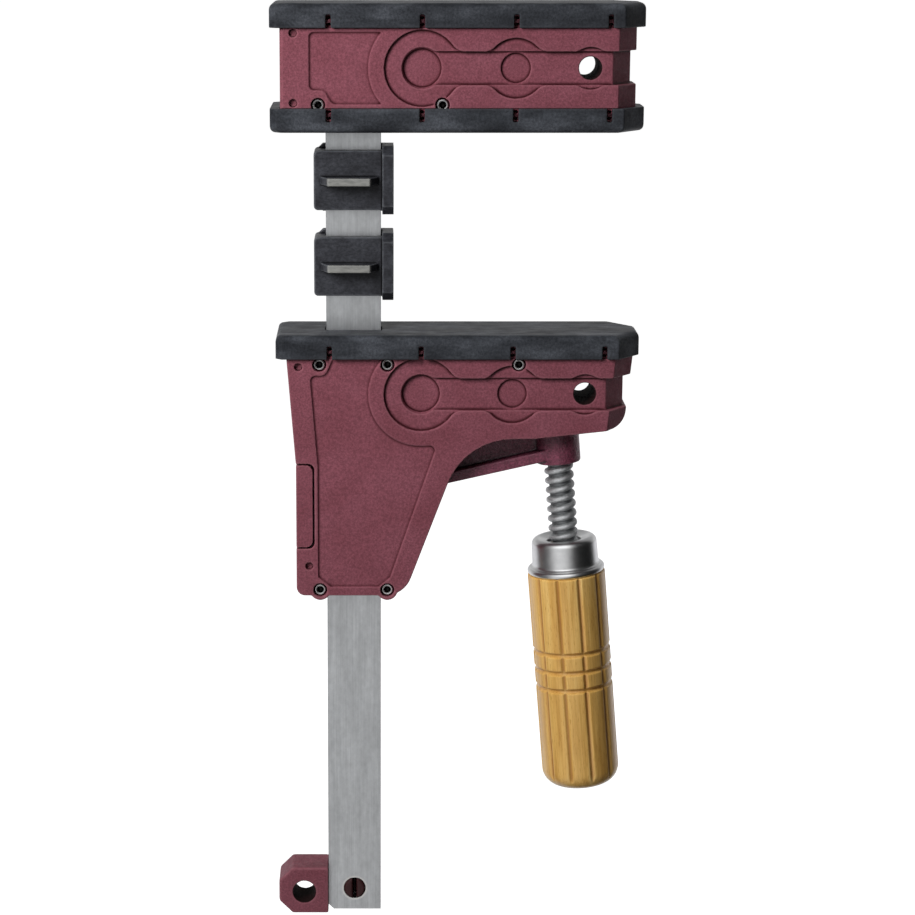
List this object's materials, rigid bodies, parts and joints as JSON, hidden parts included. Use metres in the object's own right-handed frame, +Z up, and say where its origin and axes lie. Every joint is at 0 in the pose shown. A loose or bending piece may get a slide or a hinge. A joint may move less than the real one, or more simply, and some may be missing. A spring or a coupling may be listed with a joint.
{
  "type": "parallel clamp",
  "caption": "Bar clamp with deep parallel padded jaws: a sliding jaw is locked and driven by a rocking arm and a screw with a turned wooden handle.",
  "frame": {"origin": "middle of the object's outline seen from above, on the plane of the bar's foot", "axes": "+Z up along the bar to the fixed jaw, +X along the jaws towards their tips, -Y towards the side with the screw heads"},
  "size_m": [0.147, 0.04, 0.378],
  "materials": {
    "bar_steel": "drawn flat steel, galvanised, fine lengthwise grain",
    "cast_core": "as cast",
    "bright_steel": "bright zinc",
    "shell_plastic": "fine moulded texture, satin",
    "pad_plastic": "smooth moulded, slight gloss",
    "arm_paint": "painted rough casting",
    "zinc_steel": "rolled thread, bright zinc",
    "ferrule_chrome": "pressed sheet, chromed",
    "handle_wood": "lacquered turned beech",
    "support_plastic": "smooth moulded, slight gloss"
  },
  "bodies": {
    "bar_assembly": {"bar": "bar_steel", "fixed_jaw_core": "cast_core", "fixed_jaw_lock_pin": "bright_steel", "fixed_jaw_front_shell": "shell_plastic", "fixed_jaw_rear_shell": "shell_plastic", "fixed_jaw_upper_pad": "pad_plastic", "fixed_jaw_lower_pad": "pad_plastic", "fixed_jaw_screws": "bright_steel", "end_stop": "shell_plastic"},
    "moving_jaw": {"moving_jaw_front_shell": "shell_plastic", "moving_jaw_rear_shell": "shell_plastic", "moving_jaw_pad": "pad_plastic", "moving_jaw_screws": "bright_steel", "moving_jaw_core": "cast_core", "upper_guide_block": "bright_steel", "lower_guide_block": "bright_steel", "thrust_plate": "bright_steel", "heel_cover": "shell_plastic"},
    "clamp_arm": {"clamping_arm": "arm_paint"},
    "screw_tip": {"thrust_shoe": "bright_steel"},
    "screw_handle": {"screw_spindle": "zinc_steel", "handle_ferrule": "ferrule_chrome", "handle_grip": "handle_wood"},
    "upper_support": {"upper_bar_support": "support_plastic"},
    "lower_support": {"lower_bar_support": "support_plastic"}
  },
  "joints": [
    {"name": "jaw_slide", "type": "slide", "parent": "bar_assembly", "child": "moving_jaw", "axis": [0, 0, 1], "range_m": [-0.117, 0.007]},
    {"name": "arm_rock", "type": "hinge", "parent": "moving_jaw", "child": "clamp_arm", "pos_m": [-0.041, 0, 0.178], "axis": [0, 1, 0], "range_deg": [-1.45, 4.25]},
    {"name": "screw_advance", "type": "slide", "parent": "clamp_arm", "child": "screw_tip", "axis": [-0.0854, 0, 0.9963], "range_m": [-0.00205, 0.00605]},
    {"name": "screw_turn", "type": "hinge", "parent": "screw_tip", "child": "screw_handle", "pos_m": [0.0404, 0, 0.2172], "axis": [-0.0854, 0, 0.9963], "range_deg": [-180, 540]},
    {"name": "upper_support_slide", "type": "slide", "parent": "bar_assembly", "child": "upper_support", "axis": [0, 0, 1], "range_m": [-0.0035, 0.005]},
    {"name": "lower_support_slide", "type": "slide", "parent": "bar_assembly", "child": "lower_support", "axis": [0, 0, 1], "range_m": [-0.005, 0.0032]}
  ],
  "couplings": [
    {"joint": "arm_rock", "follows": "screw_turn", "ratio": 0.0077923},
    {"joint": "screw_advance", "follows": "screw_turn", "m_per_rad": 0.00063662}
  ]
}
